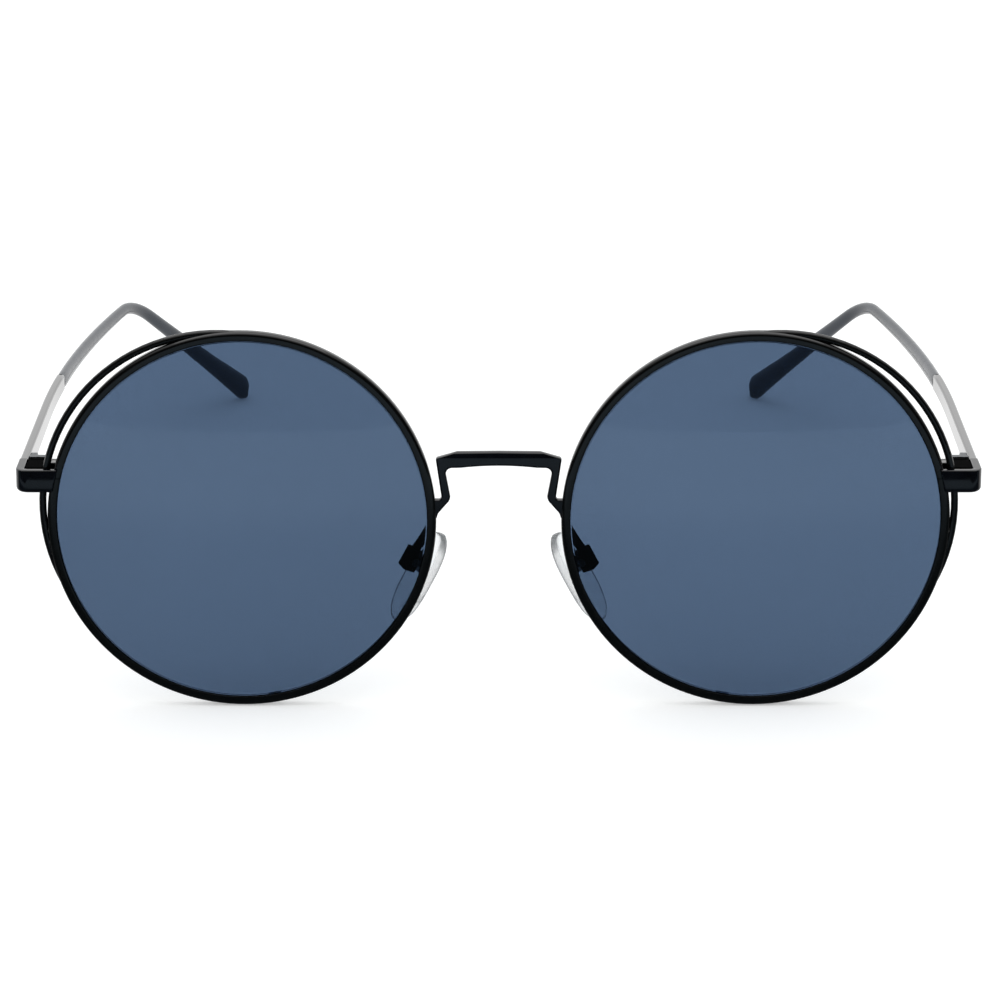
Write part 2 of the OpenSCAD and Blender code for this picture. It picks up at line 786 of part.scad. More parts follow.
module nose_pad(s) {
    color("#dfe6ea", 0.5) side(s) pad_space() difference() {
        sweep([for (i = [0:pad_rings]) pad_ring(i)]);
        box(
            pad_back_x - plate_t - solder_gap, pad_back_x + beyond,
            -plate_y / 2 - solder_gap, plate_y / 2 + solder_gap,
            -plate_z / 2 - solder_gap, plate_z / 2 + solder_gap
        );
    }
}

bridge();
rim(-1);  // left_rim
rim(1);  // right_rim
lens(-1);  // left_lens
lens(1);  // right_lens
outer_wire(-1);  // left_outer_wire
outer_wire(1);  // right_outer_wire
endpiece(-1);  // left_endpiece
endpiece(1);  // right_endpiece
upper_block(-1);  // left_upper_block
upper_block(1);  // right_upper_block
lower_block(-1);  // left_lower_block
lower_block(1);  // right_lower_block
block_screw(-1);  // left_block_screw
block_screw(1);  // right_block_screw
front_hinge(-1);  // left_front_hinge
front_hinge(1);  // right_front_hinge
temple_hinge(-1);  // left_temple_hinge
temple_hinge(1);  // right_temple_hinge
hinge_screw(-1);  // left_hinge_screw
hinge_screw(1);  // right_hinge_screw
temple(-1);  // left_temple
temple(1);  // right_temple
core_wire(-1);  // left_core_wire
core_wire(1);  // right_core_wire
tip_sleeve(-1);  // left_tip_sleeve
tip_sleeve(1);  // right_tip_sleeve
pad_arm(-1);  // left_pad_arm
pad_arm(1);  // right_pad_arm
pad_box(-1);  // left_pad_box
pad_box(1);  // right_pad_box
pad_pin(-1);  // left_pad_pin
pad_pin(1);  // right_pad_pin
pad_mount(-1);  // left_pad_mount
pad_mount(1);  // right_pad_mount
nose_pad(-1);  // left_nose_pad
nose_pad(1);  // right_nose_pad
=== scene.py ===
"""Round metal sunglasses: finishes, detailed pieces and the studio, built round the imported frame.

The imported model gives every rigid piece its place. Here each one gets its finish, and the
bent, moulded and soldered pieces are modelled again with rounded edges and smooth bends.
Lengths are metres in the shared frame: x to the right seen from the front, y back, z up.
The sizes of the flat drawing are millimetres, and its angles degrees.
"""

import json
import logging
import math
from collections.abc import Callable
from dataclasses import dataclass, field
from enum import Enum

import bpy
from mathutils import Matrix, Vector

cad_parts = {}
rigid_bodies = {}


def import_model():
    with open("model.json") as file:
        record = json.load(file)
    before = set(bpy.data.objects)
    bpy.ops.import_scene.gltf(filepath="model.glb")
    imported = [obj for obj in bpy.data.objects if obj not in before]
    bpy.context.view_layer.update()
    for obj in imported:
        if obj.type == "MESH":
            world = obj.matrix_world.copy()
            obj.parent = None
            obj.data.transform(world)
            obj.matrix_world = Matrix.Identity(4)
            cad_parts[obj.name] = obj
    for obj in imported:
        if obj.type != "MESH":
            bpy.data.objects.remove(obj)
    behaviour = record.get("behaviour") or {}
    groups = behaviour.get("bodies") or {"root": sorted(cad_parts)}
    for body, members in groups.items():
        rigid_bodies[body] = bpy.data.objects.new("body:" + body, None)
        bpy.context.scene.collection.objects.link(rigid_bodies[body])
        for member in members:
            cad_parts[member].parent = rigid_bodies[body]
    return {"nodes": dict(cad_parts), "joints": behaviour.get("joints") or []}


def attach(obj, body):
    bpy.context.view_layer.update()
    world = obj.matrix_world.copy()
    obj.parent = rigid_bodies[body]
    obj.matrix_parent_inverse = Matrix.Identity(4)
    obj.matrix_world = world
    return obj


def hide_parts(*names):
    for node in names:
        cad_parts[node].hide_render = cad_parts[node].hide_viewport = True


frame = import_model()

MM = 0.001
LOG = logging.getLogger("sunglasses")

Colour = tuple[float, float, float]
Span = tuple[float, float]
Socket = bpy.types.NodeSocket
Material = bpy.types.Material
Piece = bpy.types.Object
Corner = bpy.types.MeshVertex

WHITE: Colour = (1.0, 1.0, 1.0)
NOISE_MIDDLE: Span = (0.3, 0.7)
CLOUD_MIDDLE: Span = (0.35, 0.65)
AHEAD = Vector((0.0, 1.0, 0.0))
OUTWARD = Vector((1.0, 0.0, 0.0))
UPWARD = Vector((0.0, 0.0, 1.0))
WELD = 1e-7
FACET_WELD = 2e-6
FLAT_ANGLE = 0.5
BEVEL_ANGLE = 40.0
FACE_WEIGHT = 80
SHARP_ANGLE = 35.0
SLEEVE_SHARP_ANGLE = 50.0
PAD_SHARP_ANGLE = 30.0


class Side(Enum):
    """The two halves of the frame, as seen from the front."""

    LEFT = -1
    RIGHT = 1

    @property
    def word(self) -> str:
        """The side's name, as the nodes spell it."""
        return self.name.lower()


class Paint(Enum):
    """The pigments of the lacquered pieces."""

    JET = (0.0009, 0.0011, 0.0011)
    SLATE = (0.0008, 0.0013, 0.0026)
    SMOKE = (0.005, 0.0055, 0.006)
    COAL = (0.0018, 0.0019, 0.002)


# Finishes


def scaled(colour: Colour, times: float, lift: float = 0.0) -> Colour:
    """Gives a colour multiplied by a number, with another added."""
    return tuple(times * v + lift for v in colour)


@dataclass(frozen=True)
class NodeBench:
    """Adds and joins shader nodes in one material or world.

    Args:
        tree: the node tree that is filled.
    """

    tree: bpy.types.NodeTree

    def add(self, kind: str, **values: object) -> bpy.types.Node:
        """Adds a node and sets its plain properties.

        Args:
            kind: the node's type, without its ShaderNode prefix.
            values: properties of the node.

        Returns:
            The new node.
        """
        node = self.tree.nodes.new("ShaderNode" + kind)
        for name, value in values.items():
            setattr(node, name, value)
        return node

    def join(self, source: Socket, target: Socket) -> None:
        """Links source to target."""
        self.tree.links.new(source, target)

    def wire(self, node: bpy.types.Node, *sources: Socket) -> Socket:
        """Links sources to a node's first inputs and gives its first output."""
        for source, target in zip(sources, node.inputs):
            self.join(source, target)
        return node.outputs[0]

    def coordinate(self, kind: str, axis: str) -> Socket:
        """Gives one axis of a kind of coordinate."""
        parts = self.add("SeparateXYZ")
        self.wire(parts, self.add("TexCoord").outputs[kind])
        return parts.outputs[axis]

    def noise(self, scale: float, detail: float = 3.0) -> Socket:
        """Adds noise on the piece's own coordinates.

        Args:
            scale: repeats in a metre.
            detail: how many finer layers it has.

        Returns:
            The noise's value.
        """
        noise = self.add("TexNoise")
        noise.inputs["Scale"].default_value = scale
        noise.inputs["Detail"].default_value = detail
        self.join(self.add("TexCoord").outputs["Object"], noise.inputs["Vector"])
        return noise.outputs["Fac"]

    def remap(self, value: Socket, span: Span, to: Span, kind: str = "LINEAR") -> Socket:
        """Maps a span of a value to another one.

        Args:
            value: the value.
            span: where it starts and stops changing.
            to: what it becomes at both.
            kind: how it passes from one to the other.

        Returns:
            The mapped value.
        """
        reach = self.add("MapRange", interpolation_type=kind)
        for name, number in zip(("From Min", "From Max", "To Min", "To Max"), span + to):
            reach.inputs[name].default_value = number
        return self.wire(reach, value)

    def ease(self, value: Socket, span: Span, to: Span = (0.0, 1.0)) -> Socket:
        """Maps a span of a value to another one with a soft start and stop."""
        return self.remap(value, span, to, "SMOOTHSTEP")

    def ramp(self, value: Socket, dark: Colour, pale: Colour, span: Span = (0.0, 1.0)) -> Socket:
        """Ramps a value between two colours.

        Args:
            value: from 0 to 1.
            dark: the colour at its low end.
            pale: the colour at its high end.
            span: where the ramp starts and stops.

        Returns:
            The colour.
        """
        ramp = self.add("ValToRGB")
        for stop, place, colour in zip(ramp.color_ramp.elements, span, (dark, pale)):
            stop.position = place
            stop.color = (*colour, 1.0)
        return self.wire(ramp, value)

    def cloud(self, scale: float, dark: Colour, pale: Colour, detail: float = 3.0) -> Socket:
        """Gives a colour that wanders between two, with the noise's repeats and detail."""
        return self.ramp(self.noise(scale, detail), dark, pale, CLOUD_MIDDLE)

    def math(self, kind: str, one: Socket, other: Socket) -> Socket:
        """Works out a value from two others and keeps it between 0 and 1."""
        return self.wire(self.add("Math", operation=kind, use_clamp=True), one, other)

    def seen(self) -> Socket:
        """Tells rays that look at the background from those that mirror it.

        A ray that passes glass and is never mirrored looks at the background too.

        Returns:
            1 for a ray that looks, and 0 for one that mirrors or lights.
        """
        rays = self.add("LightPath").outputs
        through = self.math("SUBTRACT", rays["Is Transmission Ray"], rays["Glossy Depth"])
        return self.math("MAXIMUM", rays["Is Camera Ray"], through)

    def bump(self, height: Socket, depth: float) -> Socket:
        """Adds a bump.

        Args:
            height: its pattern.
            depth: in metres.

        Returns:
            Its normal.
        """
        bump = self.add("Bump")
        bump.inputs["Strength"].default_value = 1.0
        bump.inputs["Distance"].default_value = depth
        self.join(height, bump.inputs["Height"])
        return bump.outputs["Normal"]

    def light(self, kind: str, colour: Colour = WHITE, strength: float = 1.0) -> bpy.types.Node:
        """Adds an emission or a background.

        Args:
            kind: which of the two.
            colour: its colour.
            strength: how strong it is.

        Returns:
            The node.
        """
        light = self.add(kind)
        light.inputs["Color"].default_value = (*colour, 1.0)
        light.inputs["Strength"].default_value = strength
        return light

    def mix(self, share: Socket, one: Socket, other: Socket) -> Socket:
        """Mixes two shaders, with that share of the second one."""
        return self.wire(self.add("MixShader"), share, one, other)


@dataclass(frozen=True)
class Surface:
    """A new material with one Principled shader on its bench.

    Args:
        material: the material.
        bench: where its nodes are added.
        shader: its Principled shader.
        output: its output.
    """

    material: Material
    bench: NodeBench
    shader: bpy.types.Node
    output: bpy.types.Node

    @classmethod
    def fresh(cls, name: str) -> "Surface":
        """Makes the material of that name.

        Args:
            name: the material's name.

        Returns:
            The material with its bench and nodes.
        """
        material = bpy.data.materials.new(name)
        material.use_nodes = True
        material.node_tree.nodes.clear()
        bench = NodeBench(material.node_tree)
        surface = cls(material, bench, bench.add("BsdfPrincipled"), bench.add("OutputMaterial"))
        surface.show(surface.shader.outputs["BSDF"])
        return surface

    def show(self, shader: Socket) -> None:
        """Sends a shader to the output."""
        self.bench.join(shader, self.output.inputs["Surface"])

    def feed(self, **sources: Socket) -> None:
        """Links sources to the shader's inputs, named with underscores for spaces."""
        for name, source in sources.items():
            self.bench.join(source, self.shader.inputs[name.replace("_", " ")])

    def fix(self, **values: float) -> None:
        """Sets the shader's inputs, named with underscores for spaces."""
        for name, value in values.items():
            self.shader.inputs[name.replace("_", " ")].default_value = value

    def let_lamps_through(self, passed: Colour) -> None:
        """Lets lamps shine through a clear piece, which then throws a pale shadow.

        Args:
            passed: what white light becomes behind it.
        """
        lamp_path = self.bench.add("BsdfTransparent")
        lamp_path.inputs["Color"].default_value = (*passed, 1.0)
        in_shadow = self.bench.add("LightPath").outputs["Is Shadow Ray"]
        self.show(self.bench.mix(in_shadow, self.shader.outputs["BSDF"], lamp_path.outputs["BSDF"]))


@dataclass(frozen=True)
class Skin:
    """Lacquer, metal or moulded plastic, with faint clouds, specks and ripples.

    Args:
        name: the material's name.
        dark: its darkest colour.
        pale: its palest colour.
        gloss: roughness of its cleanest and its dustiest places.
        ripple: depth of the ripple, in metres.
        grain: repeats in a metre of its clouds, its specks and its ripple.
        detail: finer layers of the specks and of the ripple.
        bend: how much it bends light, and so how much it mirrors.
        coat: strength and roughness of a second, clear coat.
        metal: the share of it that is metal.
    """

    name: str
    dark: Colour
    pale: Colour
    gloss: Span
    ripple: float
    grain: tuple[float, float, float]
    detail: Span
    bend: float = 1.5
    coat: Span = (0.0, 0.05)
    metal: float = 0.0

    def build(self) -> Material:
        """Builds the material.

        Returns:
            The material.
        """
        surface = Surface.fresh(self.name)
        bench = surface.bench
        clouds, specks, waves = self.grain
        surface.feed(
            Base_Color=bench.cloud(clouds, self.dark, self.pale),
            Roughness=bench.remap(
                bench.noise(specks, self.detail[0]), NOISE_MIDDLE, self.gloss
            ),
            Normal=bench.bump(bench.noise(waves, self.detail[1]), self.ripple),
        )
        surface.fix(IOR=self.bend, Metallic=self.metal)
        surface.fix(Coat_Weight=self.coat[0], Coat_Roughness=self.coat[1])
        return surface.material


def lacquer(
    name: str,
    paint: Paint,
    gloss: float = 0.07,
    ripple: float = 2e-6,
    bend: float = 1.55,
    coat: float = 0.0,
) -> Skin:
    """Mixes a lacquer, which is paler and rougher where dust lies on it.

    Args:
        name: the material's name.
        paint: its pigment.
        gloss: roughness where it is cleanest.
        ripple: depth of its ripple, in metres.
        bend: how much it bends light.
        coat: strength of a second, clear coat.

    Returns:
        The lacquer.
    """
    dusty, dust = scaled(paint.value, 1.5, 0.0005), gloss + 0.07
    grain, detail = (420.0, 900.0, 650.0), (5.0, 2.0)
    return Skin(name, paint.value, dusty, (gloss, dust), ripple, grain, detail, bend, (coat, 0.05))


def metal(name: str, colour: Colour) -> Skin:
    """Mixes a plated or turned metal, a fifth darker in its fine marks.

    Args:
        name: the material's name.
        colour: its reflected colour.

    Returns:
        The metal.
    """
    grain, detail = (1500.0, 3000.0, 3000.0), (4.0, 3.0)
    return Skin(name, scaled(colour, 0.8), colour, (0.25, 0.4), 3e-6, grain, detail, metal=1.0)


@dataclass(frozen=True)
class Clear:
    """Glass or silicone that light passes.

    Args:
        name: the material's name.
        dark: its colour where it is dullest.
        pale: its colour where it is clearest.
        passed: what a lamp's white light becomes behind it.
        grain: repeats of its clouds in a metre.
        detail: finer layers of the clouds.
        clear: the share of it that is clear.
        roughness: of its skin.
        bend: how much it bends light.
    """

    name: str
    dark: Colour
    pale: Colour
    passed: Colour
    grain: float
    detail: float = 3.0
    clear: float = 1.0
    roughness: float = 0.0
    bend: float = 1.5

    def build(self) -> Material:
        """Builds the material.

        Returns:
            The material.
        """
        surface = Surface.fresh(self.name)
        cloud = surface.bench.cloud(self.grain, self.dark, self.pale, self.detail)
        surface.feed(Base_Color=cloud)
        surface.fix(Transmission_Weight=self.clear, Roughness=self.roughness, IOR=self.bend)
        surface.let_lamps_through(self.passed)
        return surface.material


SLEEVE_COLOUR: Colour = (0.010, 0.018, 0.030)
LENS_TINT: Colour = (0.077, 0.119, 0.194)

PLASTIC = Skin(
    "slate sleeve",
    dark=SLEEVE_COLOUR,
    pale=scaled(SLEEVE_COLOUR, 1.4),
    gloss=(0.14, 0.26),
    ripple=5e-6,
    grain=(180.0, 700.0, 500.0),
    detail=(4.0, 2.0),
    coat=(0.3, 0.06),
)
GLASS = Clear(
    "smoke blue lens",
    dark=scaled(LENS_TINT, 0.94),
    pale=LENS_TINT,
    passed=scaled(LENS_TINT, 0.5, 0.5),
    grain=14.0,
    detail=1.0,
)
SILICONE = Clear(
    "clear pad",
    dark=(0.86, 0.885, 0.9),
    pale=(0.95, 0.96, 0.965),
    passed=(0.9, 0.91, 0.92),
    grain=260.0,
    clear=0.95,
    roughness=0.2,
    bend=1.3,
)


def built(finish: Skin | Clear) -> Material:
    """Gives a palette's field that builds this finish once."""
    return field(default_factory=finish.build)


@dataclass
class Palette:
    """All finishes of the object, each built once."""

    jet: Material = built(lacquer("jet lacquer", Paint.JET))
    slate: Material = built(lacquer("slate lacquer", Paint.SLATE))
    smoke: Material = built(lacquer("smoke lacquer", Paint.SMOKE, 0.03, ripple=1e-6, coat=0.8))
    dull: Material = built(lacquer("dull black", Paint.COAL, 0.12, bend=1.01))
    nickel: Material = built(metal("dark nickel", (0.12, 0.13, 0.14)))
    steel: Material = built(metal("turned steel", (0.5, 0.5, 0.49)))
    lens: Material = built(GLASS)
    pad: Material = built(SILICONE)
    sleeve: Material = built(PLASTIC)


def dress(obj: Piece, material: Material) -> None:
    """Gives a piece one finish all over."""
    obj.data.materials.clear()
    obj.data.materials.append(material)


def dress_carried(palette: Palette) -> int:
    """Dresses the CAD nodes that keep their own mesh.

    Args:
        palette: the finishes.

    Returns:
        How many nodes were dressed.
    """
    finishes = {
        "outer_wire": palette.jet,
        "lens": palette.lens,
        "block_screw": palette.steel,
        "hinge_screw": palette.dull,
        "core_wire": palette.steel,
        "pad_pin": palette.nickel,
        "pad_mount": palette.nickel,
    }
    for name, finish in finishes.items():
        for side in Side:
            dress(frame["nodes"][f"{side.word}_{name}"], finish)
    return len(finishes) * len(Side)


# Modelling


@dataclass(frozen=True)
class Drawing:
    """Sizes of the frame as it is drawn flat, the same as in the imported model."""

    lens_x: float = 38.5
    rim_inner: float = 27.65
    rim_width: float = 1.5
    rim_depth: float = 2.0
    out_x: float = 72.2
    arm_thick: float = 1.3
    arm_high: float = 3.2
    end_z: float = 6.3
    end_high: float = 3.5
    end_thick: float = 1.25
    end_front: float = -1.85
    end_corner: float = 1.9
    pivot_y: float = 5.3
    butt_gap: float = 0.06
    split_z: float = 6.6
    split_gap: float = 0.1
    bow_y: float = 38.0
    bow_r: float = 350.0
    sleeve_y: float = 57.0
    seam_a: float = 0.01
    bend_y: float = 105.2
    bend_l: float = 11.0
    tip_l: float = 33.5
    tip_drop: float = 35.5
    tip_in: float = 34.5
    sleeve_thick: float = 1.7
    sleeve_high: float = 2.7
    neck_high: float = 2.0
    tip_thick: float = 2.2
    tip_high: float = 4.4
    tip_swell_power: float = 2.2
    tip_round_share: float = 0.55
    tip_flat_share: float = 0.06
    tip_side_share: float = 0.35
    tip_sag_share: float = 0.22
    bore_thick: float = 0.92
    bore_high: float = 1.22
    bore_stop: float = 9.0
    bridge_rise: float = 10.6
    bridge_thick: float = 1.3
    box_long: float = 3.3
    pad_x: float = 13.4
    pad_y: float = 8.0
    pad_z: float = -8.4
    pad_long: float = 15.2
    pad_wide: float = 6.5
    pad_thick: float = 2.7
    pad_back: float = -2.0
    pad_hang: float = 2.5
    pad_slant: float = 28.0
    pad_splay: float = 28.0
    pad_sole_share: float = 0.35
    pad_edge_share: float = 0.02
    pad_round_power: float = 3.2
    pad_taper_share: float = 0.7
    pad_arm_z: float = -1.9
    pad_arm_side: float = 0.2
    pad_arm_lead: float = 4.6
    pad_arm_entry: float = 2.6
    plate_thick: float = 0.5
    plate_wide: float = 2.8
    plate_long: float = 3.2
    solder: float = 0.02

    @property
    def rim_outer(self) -> float:
        """Outer radius of the rim."""
        return self.rim_inner + self.rim_width

    @property
    def arm_x(self) -> float:
        """Middle of the temple's thickness, where it is straight."""
        return self.out_x - self.arm_thick / 2

    def strip_high(self, y: float) -> float:
        """Height of the temple at a distance behind the front."""
        share = (y - self.pivot_y) / (self.bend_y - self.pivot_y)
        return self.arm_high + (self.neck_high - self.arm_high) * share


@dataclass(frozen=True)
class Trim:
    """Sizes of the trim, which only the scene sets: rounds, slopes, lips and solder."""

    solder_lap: float = 0.6
    rim_touch: float = 0.05
    groove: float = 0.42
    groove_edge: float = 0.7
    groove_round: float = 0.3
    rim_round: float = 0.66
    gap_wide: float = 8.0
    gap_deep: float = 4.0
    end_round: float = 0.7
    end_band: float = 1.1
    end_edge: float = 0.16
    band_slope: float = 16.0
    bridge_band: float = 0.9
    bridge_edge: float = 0.3
    strip_edge: float = 0.32
    block_edge: float = 0.18
    hinge_edge: float = 0.15
    box_edge: float = 0.6
    pad_edge: float = 0.3
    lip: float = 0.06
    lip_share: float = 0.03
    tip_trim: float = 0.54
    stem: float = 1.4
    stem_flare: float = 0.25
    stem_fade: float = 2.5
    stem_share: float = 0.35
    stem_sway: float = 0.6


@dataclass(frozen=True)
class Steps:
    """How finely the curves are divided."""

    rim: int = 144
    corner: int = 8
    strip: int = 6
    bow: int = 15
    tail: int = 44
    wire: int = 24
    wire_sides: int = 20
    pad: int = 24
    pad_sides: int = 32
    long_round: int = 6
    edge_round: int = 4
    small_round: int = 3


SIZES = Drawing()
TRIM = Trim()
STEPS = Steps()


def read_rest() -> Matrix:
    """Finds from a temple's hinge how the flat drawing leans on the table.

    Returns:
        The matrix from the drawing, in metres, to the shared frame.
    """
    joint = next(j for j in frame["joints"] if j["name"] == "right_temple_fold")
    place, axis = Vector(joint["pos_m"]), Vector(joint["axis"])
    turn = Matrix.Rotation(-math.atan2(axis.y, axis.z), 4, "X")
    drawn = Vector((place.x, SIZES.pivot_y * MM, SIZES.end_z * MM))
    return Matrix.Translation(place - turn @ drawn) @ turn


REST = read_rest()


@dataclass(frozen=True)
class Ring:
    """One cross-section of a bar, wire or sleeve.

    Args:
        centre: its middle, in millimetres of the drawing.
        across: unit direction of its width.
        up: unit direction of its height.
        wide: its width.
        high: its height.
    """

    centre: Vector
    across: Vector
    up: Vector
    wide: float
    high: float


def select_only(obj: Piece) -> None:
    """Selects one object and makes it active."""
    bpy.ops.object.select_all(action="DESELECT")
    obj.select_set(True)
    bpy.context.view_layer.objects.active = obj


def take_all() -> None:
    """Selects the whole open mesh."""
    bpy.ops.mesh.select_all(action="SELECT")


def open_blank(name: str) -> Piece:
    """Opens a new mesh, still empty, in edit mode.

    Args:
        name: the piece's name.

    Returns:
        The new object.
    """
    bpy.ops.object.select_all(action="DESELECT")
    bpy.ops.mesh.primitive_circle_add(vertices=4, radius=MM)
    blank = bpy.context.object
    blank.name = name
    bpy.ops.object.mode_set(mode="EDIT")
    bpy.ops.mesh.delete(type="VERT")
    return blank


def add_ring(ring: Ring, sides: int, fill: str = "NOTHING") -> None:
    """Adds one cross-section to the mesh that is open in edit mode.

    Args:
        ring: the cross-section.
        sides: its corners; four make a rectangle, and more an ellipse.
        fill: how it is filled.
    """
    square = math.radians(45) if sides == 4 else 0.0
    radius = math.sqrt(0.5) if sides == 4 else 0.5
    local = Matrix((ring.across, ring.up, ring.across.cross(ring.up))).transposed()
    turn = local @ Matrix.Rotation(square, 3, "Z")
    bpy.ops.mesh.primitive_circle_add(
        vertices=sides,
        radius=radius * MM,
        fill_type=fill,
        location=ring.centre * MM,
        rotation=turn.to_euler(),
    )
    bpy.ops.transform.resize(
        value=(ring.wide, ring.high, 1.0),
        orient_type="LOCAL",
        orient_matrix=local,
        orient_matrix_type="LOCAL",
        center_override=ring.centre * MM,
    )


def add_tube(rings: list[Ring], sides: int, start: bool = True) -> None:
    """Joins cross-sections into a tube in the open mesh, closed at its last end.

    Args:
        rings: the cross-sections in order.
        sides: corners of each.
        start: whether the first end is closed too.
    """
    take_all()
    bpy.ops.mesh.hide(unselected=False)
    for ring in rings:
        add_ring(ring, sides)
    take_all()
    bpy.ops.mesh.bridge_edge_loops()
    if start:
        add_ring(rings[0], sides, "NGON")
    add_ring(rings[-1], sides, "NGON")
    take_all()
    bpy.ops.mesh.remove_doubles(threshold=WELD)
    bpy.ops.mesh.reveal(select=False)


def close_blank(face_out: bool = True) -> None:
    """Leaves edit mode.

    Args:
        face_out: whether all faces are turned outward first.
    """
    take_all()
    if face_out:
        bpy.ops.mesh.normals_make_consistent(inside=False)
    bpy.ops.object.mode_set(mode="OBJECT")


def slice_off(point: Vector, normal: Vector) -> None:
    """Cuts the open mesh at a plane, closes the cut and leaves edit mode.

    Args:
        point: a point of the plane, in metres.
        normal: points to the part that is taken off.
    """
    take_all()
    bpy.ops.mesh.bisect(plane_co=point, plane_no=normal, clear_outer=True, use_fill=True)
    close_blank()


def slope_normal() -> Vector:
    """Direction that the leaned-back bands of the bridge and the endpieces face."""
    slope = math.radians(TRIM.band_slope)
    return Vector((0.0, -math.cos(slope), math.sin(slope)))


def pick(obj: Piece, wanted: Callable[[Corner], bool]) -> None:
    """Selects the vertices that pass a test, and opens the mesh in edit mode.

    Args:
        obj: the piece, in object mode.
        wanted: the test.
    """
    bpy.ops.object.mode_set(mode="EDIT")
    bpy.ops.mesh.select_mode(type="VERT")
    bpy.ops.mesh.select_all(action="DESELECT")
    bpy.ops.object.mode_set(mode="OBJECT")
    for vertex in obj.data.vertices:
        vertex.select = wanted(vertex)
    bpy.ops.object.mode_set(mode="EDIT")


def apply_modifier(obj: Piece, kind: str, **values: object) -> None:
    """Adds a modifier, sets it and applies it.

    Args:
        obj: the piece.
        kind: the modifier's type.
        values: its settings.
    """
    bpy.context.view_layer.objects.active = obj
    bpy.ops.object.modifier_add(type=kind)
    added = obj.modifiers[-1]
    for name, value in values.items():
        setattr(added, name, value)
    bpy.ops.object.modifier_apply(modifier=added.name)


def bevel(obj: Piece, width: float, segments: int, method: str = "ANGLE") -> None:
    """Rounds edges with a modifier that is applied.

    Args:
        obj: the piece.
        width: in millimetres.
        segments: of each round.
        method: which edges it takes, by their angle or by their weight.
    """
    apply_modifier(
        obj,
        "BEVEL",
        width=width * MM,
        segments=segments,
        limit_method=method,
        angle_limit=math.radians(BEVEL_ANGLE),
        use_clamp_overlap=True,
    )


def smooth(obj: Piece, angle: float = SHARP_ANGLE) -> None:
    """Smooths the shading, but keeps the large flat faces flat up to their rounded edges.

    Args:
        obj: the piece.
        angle: edges sharper than this, in degrees, stay sharp.
    """
    select_only(obj)
    bpy.ops.object.shade_smooth_by_angle(angle=math.radians(angle))
    apply_modifier(obj, "WEIGHTED_NORMAL", keep_sharp=True, weight=FACE_WEIGHT)


def cut(obj: Piece, tool: Piece) -> None:
    """Takes one closed shape out of a piece and removes the tool.

    Args:
        obj: the piece.
        tool: the closed shape.
    """
    select_only(obj)
    apply_modifier(obj, "BOOLEAN", operation="DIFFERENCE", solver="EXACT", object=tool)
    select_only(tool)
    bpy.ops.object.delete()


def place(obj: Piece, side: Side, angle: float = SHARP_ANGLE) -> None:
    """Mirrors a right-hand piece if needed, leans it with the front and smooths its shading.

    Args:
        obj: the piece, drawn flat.
        side: the side it belongs to.
        angle: edges sharper than this stay sharp.
    """
    select_only(obj)
    obj.matrix_world = REST @ Matrix.Scale(side.value, 4, OUTWARD)
    bpy.ops.object.transform_apply(location=True, rotation=True, scale=True)
    bpy.ops.object.mode_set(mode="EDIT")
    close_blank()
    smooth(obj, angle)


def seat(obj: Piece, finish: Material, node: str, body: str = "front") -> None:
    """Dresses a finished piece, seats it and reports it.

    Args:
        obj: the piece.
        finish: its finish.
        node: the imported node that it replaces.
        body: the moving body that it rides on.
    """
    dress(obj, finish)
    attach(obj, body)
    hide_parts(node)
    LOG.info("built %s for %s", obj.name, node)


@dataclass
class Half:
    """What the builders of one side's pieces share.

    Args:
        side: the side.
        palette: the finishes.
    """

    side: Side
    palette: Palette

    def named(self, name: str) -> str:
        """Puts the side's name before that of a piece, node or body."""
        return f"{self.side.word}_{name}"


def merged_copy(node: str, name: str) -> Piece:
    """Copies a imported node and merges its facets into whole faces.

    Args:
        node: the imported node.
        name: the copy's name.

    Returns:
        The copy, in place.
    """
    select_only(frame["nodes"][node])
    bpy.ops.object.duplicate()
    copy = bpy.context.object
    copy.name = name
    bpy.ops.object.parent_clear(type="CLEAR_KEEP_TRANSFORM")
    bpy.ops.object.mode_set(mode="EDIT")
    take_all()
    bpy.ops.mesh.remove_doubles(threshold=FACET_WELD)
    bpy.ops.mesh.dissolve_limited(angle_limit=math.radians(FLAT_ANGLE))
    close_blank()
    return copy


